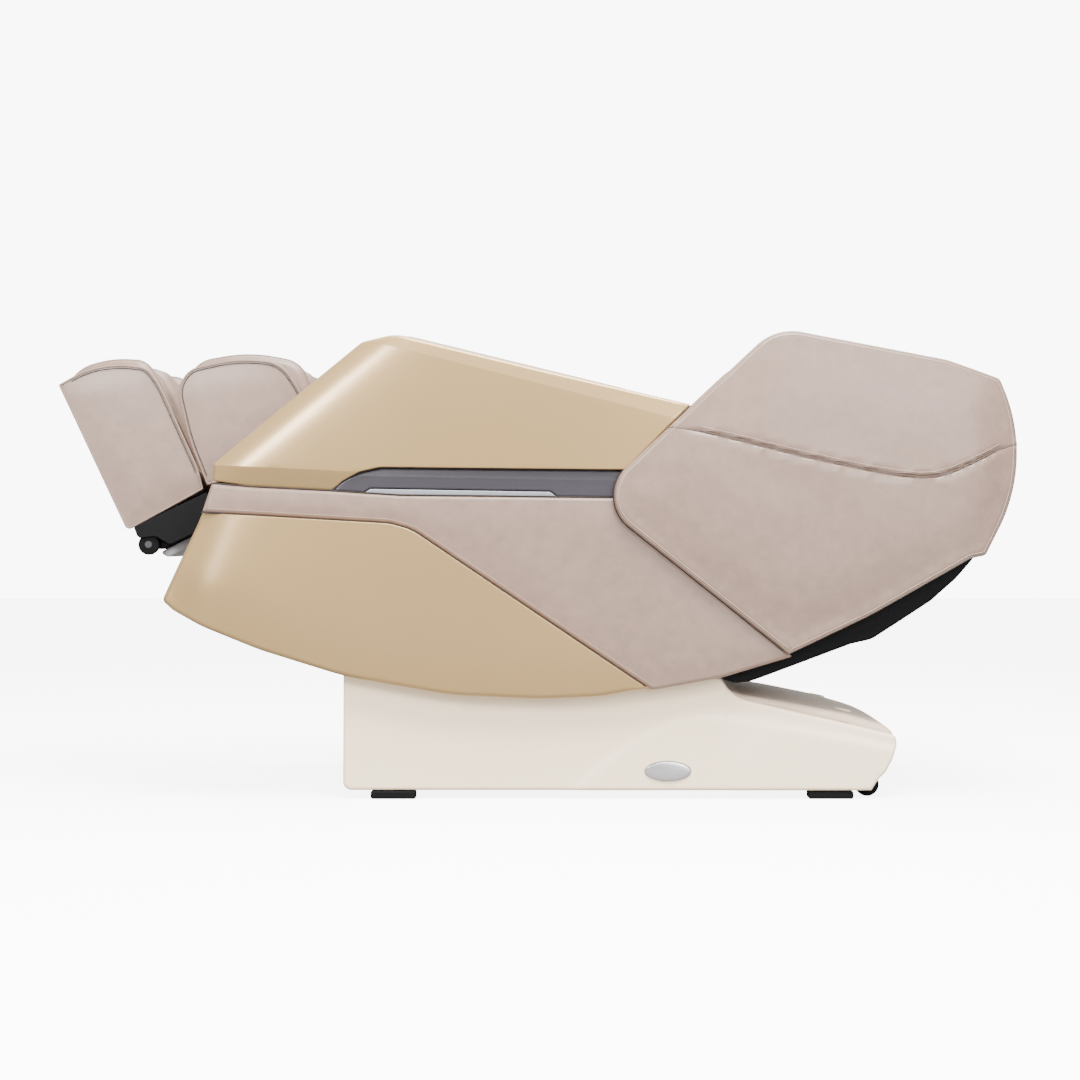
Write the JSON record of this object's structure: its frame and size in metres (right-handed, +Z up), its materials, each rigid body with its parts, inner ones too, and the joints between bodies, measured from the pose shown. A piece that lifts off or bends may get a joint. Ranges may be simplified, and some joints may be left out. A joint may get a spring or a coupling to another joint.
{
  "type": "massage chair",
  "caption": "Full-body massage recliner with padded side wings, wide arms, calf and foot wells, tilting seat, rocker-shaped side panels and a low plinth with rear transport wheels",
  "frame": {"origin": "on the floor under the centre of the bounding box, in the mid-plane between the two sides", "axes": "+Z up; +X from the feet toward the head; +Y toward the sitter's right; a sitter faces -X"},
  "size_m": [1.9479, 0.82, 0.9569],
  "materials": {
    "leather": "fine-grained synthetic leather, taupe, satin",
    "gold_shell": "champagne gold metallic paint over moulded plastic, semi-gloss",
    "cream_shell": "cream moulded plastic, satin",
    "deck_shell": "taupe moulded plastic, satin",
    "grey_trim": "dark grey metallic plastic, semi-gloss",
    "light_strip": "frosted light strip",
    "black_shell": "black moulded plastic, satin",
    "steel": "black powder coat",
    "bright_steel": "ground bright steel",
    "rubber": "matt black rubber",
    "nylon": "grey nylon"
  },
  "bodies": {
    "base": {"base_frame": "steel", "base_cheek_left": "cream_shell", "base_cheek_right": "cream_shell", "base_deck": "deck_shell", "base_front_cover": "cream_shell", "foot_front_left": "rubber", "foot_front_right": "rubber", "foot_rear_left": "rubber", "foot_rear_right": "rubber", "power_inlet": "black_shell"},
    "seat": {"seat_frame": "steel", "seat_cushion": "leather", "belly_cover": "black_shell", "recline_shaft": "bright_steel", "leg_shaft": "bright_steel", "hull_panel_left": "gold_shell", "hull_panel_right": "gold_shell", "side_band_left": "leather", "side_band_right": "leather", "arm_panel_left": "gold_shell", "arm_panel_right": "gold_shell", "arm_trim_left": "grey_trim", "arm_trim_right": "grey_trim", "arm_light_left": "light_strip", "arm_light_right": "light_strip", "arm_pad_left": "leather", "arm_pad_right": "leather", "key_panel": "black_shell"},
    "back": {"back_frame": "steel", "back_shell": "black_shell", "wing_left": "leather", "wing_right": "leather", "back_cushion": "leather", "head_pillow": "leather"},
    "leg": {"leg_frame": "black_shell", "calf_pad": "leather"},
    "foot": {"foot_frame": "black_shell", "foot_pad": "leather"},
    "carriage": {"massage_carriage": "black_shell"},
    "rocker": {"power_switch": "black_shell"},
    "key": {"recline_key": "nylon"},
    "wheel_left": {"transport_wheel_left": "rubber"},
    "leg_wheel_left": {"leg_wheel_left": "rubber"},
    "knead_left": {"knead_arm_left": "steel"},
    "roller_lower_left": {"roller_lower_left": "nylon"},
    "roller_upper_left": {"roller_upper_left": "nylon"},
    "wheel_right": {"transport_wheel_right": "rubber"},
    "leg_wheel_right": {"leg_wheel_right": "rubber"},
    "knead_right": {"knead_arm_right": "steel"},
    "roller_lower_right": {"roller_lower_right": "nylon"},
    "roller_upper_right": {"roller_upper_right": "nylon"},
    "leg_tube": {"leg_actuator_tube": "steel"},
    "leg_rod": {"leg_actuator_rod": "bright_steel"},
    "recline_tube": {"recline_actuator_tube": "steel"},
    "recline_rod": {"recline_actuator_rod": "bright_steel"},
    "tilt_tube": {"tilt_actuator_tube": "steel"},
    "tilt_rod": {"tilt_actuator_rod": "bright_steel"}
  },
  "joints": [
    {"name": "seat_tilt", "type": "hinge", "parent": "base", "child": "seat", "pos_m": [0.061, 0, 0.324], "axis": [0, -1, 0], "range_deg": [0, 18]},
    {"name": "back_recline", "type": "hinge", "parent": "seat", "child": "back", "pos_m": [0.274, 0, 0.405], "axis": [0, -1, 0], "range_deg": [0, 40]},
    {"name": "leg_lift", "type": "hinge", "parent": "seat", "child": "leg", "pos_m": [-0.422, 0, 0.652], "axis": [0, -1, 0], "range_deg": [-12, 42]},
    {"name": "foot_extend", "type": "slide", "parent": "leg", "child": "foot", "axis": [-0.898, 0, -0.4399], "range_m": [0, 0.06]},
    {"name": "carriage_travel", "type": "slide", "parent": "back", "child": "carriage", "axis": [0.9336, 0, 0.3584], "range_m": [-0.13, 0.17]},
    {"name": "knead_left", "type": "hinge", "parent": "carriage", "child": "knead_left", "pos_m": [0.58782, -0.076, 0.50832], "axis": [0, -1, 0], "range_deg": [-8, 8]},
    {"name": "roller_spin_lower_left", "type": "hinge", "parent": "knead_left", "child": "roller_lower_left", "pos_m": [0.5293, -0.097, 0.50729], "axis": [0, -1, 0], "continuous": true},
    {"name": "roller_spin_upper_left", "type": "hinge", "parent": "knead_left", "child": "roller_upper_left", "pos_m": [0.63199, -0.097, 0.54671], "axis": [0, -1, 0], "continuous": true},
    {"name": "knead_right", "type": "hinge", "parent": "carriage", "child": "knead_right", "pos_m": [0.58782, 0.076, 0.50832], "axis": [0, -1, 0], "range_deg": [-8, 8]},
    {"name": "roller_spin_lower_right", "type": "hinge", "parent": "knead_right", "child": "roller_lower_right", "pos_m": [0.5293, 0.097, 0.50729], "axis": [0, -1, 0], "continuous": true},
    {"name": "roller_spin_upper_right", "type": "hinge", "parent": "knead_right", "child": "roller_upper_right", "pos_m": [0.63199, 0.097, 0.54671], "axis": [0, -1, 0], "continuous": true},
    {"name": "wheel_spin_left", "type": "hinge", "parent": "base", "child": "wheel_left", "pos_m": [0.692, -0.2835, 0.0249], "axis": [0, -1, 0], "continuous": true},
    {"name": "leg_wheel_spin_left", "type": "hinge", "parent": "foot", "child": "leg_wheel_left", "pos_m": [-0.7925, -0.2345, 0.51726], "axis": [0, -1, 0], "continuous": true},
    {"name": "wheel_spin_right", "type": "hinge", "parent": "base", "child": "wheel_right", "pos_m": [0.692, 0.2835, 0.0249], "axis": [0, -1, 0], "continuous": true},
    {"name": "leg_wheel_spin_right", "type": "hinge", "parent": "foot", "child": "leg_wheel_right", "pos_m": [-0.7925, 0.2345, 0.51726], "axis": [0, -1, 0], "continuous": true},
    {"name": "leg_drive_swing", "type": "hinge", "parent": "seat", "child": "leg_tube", "pos_m": [-0.055, 0, 0.385], "axis": [0, -1, 0], "range_deg": [-9, 4]},
    {"name": "leg_drive_stroke", "type": "slide", "parent": "leg_tube", "child": "leg_rod", "axis": [-0.8788, 0, 0.4772], "range_m": [-0.0323, 0.0114]},
    {"name": "recline_drive_swing", "type": "hinge", "parent": "seat", "child": "recline_tube", "pos_m": [-0.055, 0.089, 0.308], "axis": [0, -1, 0], "range_deg": [-1, 9]},
    {"name": "recline_drive_stroke", "type": "slide", "parent": "recline_tube", "child": "recline_rod", "axis": [0.9999, 0, 0.0126], "range_m": [-0.003, 0.0574]},
    {"name": "tilt_drive_swing", "type": "hinge", "parent": "base", "child": "tilt_tube", "pos_m": [0.415, -0.09, 0.095], "axis": [0, -1, 0], "range_deg": [-10, 1]},
    {"name": "tilt_drive_stroke", "type": "slide", "parent": "tilt_tube", "child": "tilt_rod", "axis": [-0.772, 0, 0.6356], "range_m": [-0.003, 0.0254]},
    {"name": "power_rocker", "type": "hinge", "parent": "base", "child": "rocker", "pos_m": [0.7365, 0.04, 0.104], "axis": [0, -1, 0], "range_deg": [-8, 8]},
    {"name": "key_press", "type": "slide", "parent": "seat", "child": "key", "axis": [-0.2356, 0, -0.9718], "range_m": [0, 0.0012], "stiffness_N_per_m": 400}
  ],
  "couplings": [
    {"joint": "leg_drive_swing", "follows": "leg_lift", "ratio": -0.16902},
    {"joint": "leg_drive_stroke", "follows": "leg_lift", "m_per_rad": -0.03996},
    {"joint": "recline_drive_swing", "follows": "back_recline", "ratio": 0.17832},
    {"joint": "recline_drive_stroke", "follows": "back_recline", "m_per_rad": 0.07792},
    {"joint": "tilt_drive_swing", "follows": "seat_tilt", "ratio": -0.45147},
    {"joint": "tilt_drive_stroke", "follows": "seat_tilt", "m_per_rad": 0.07145}
  ]
}
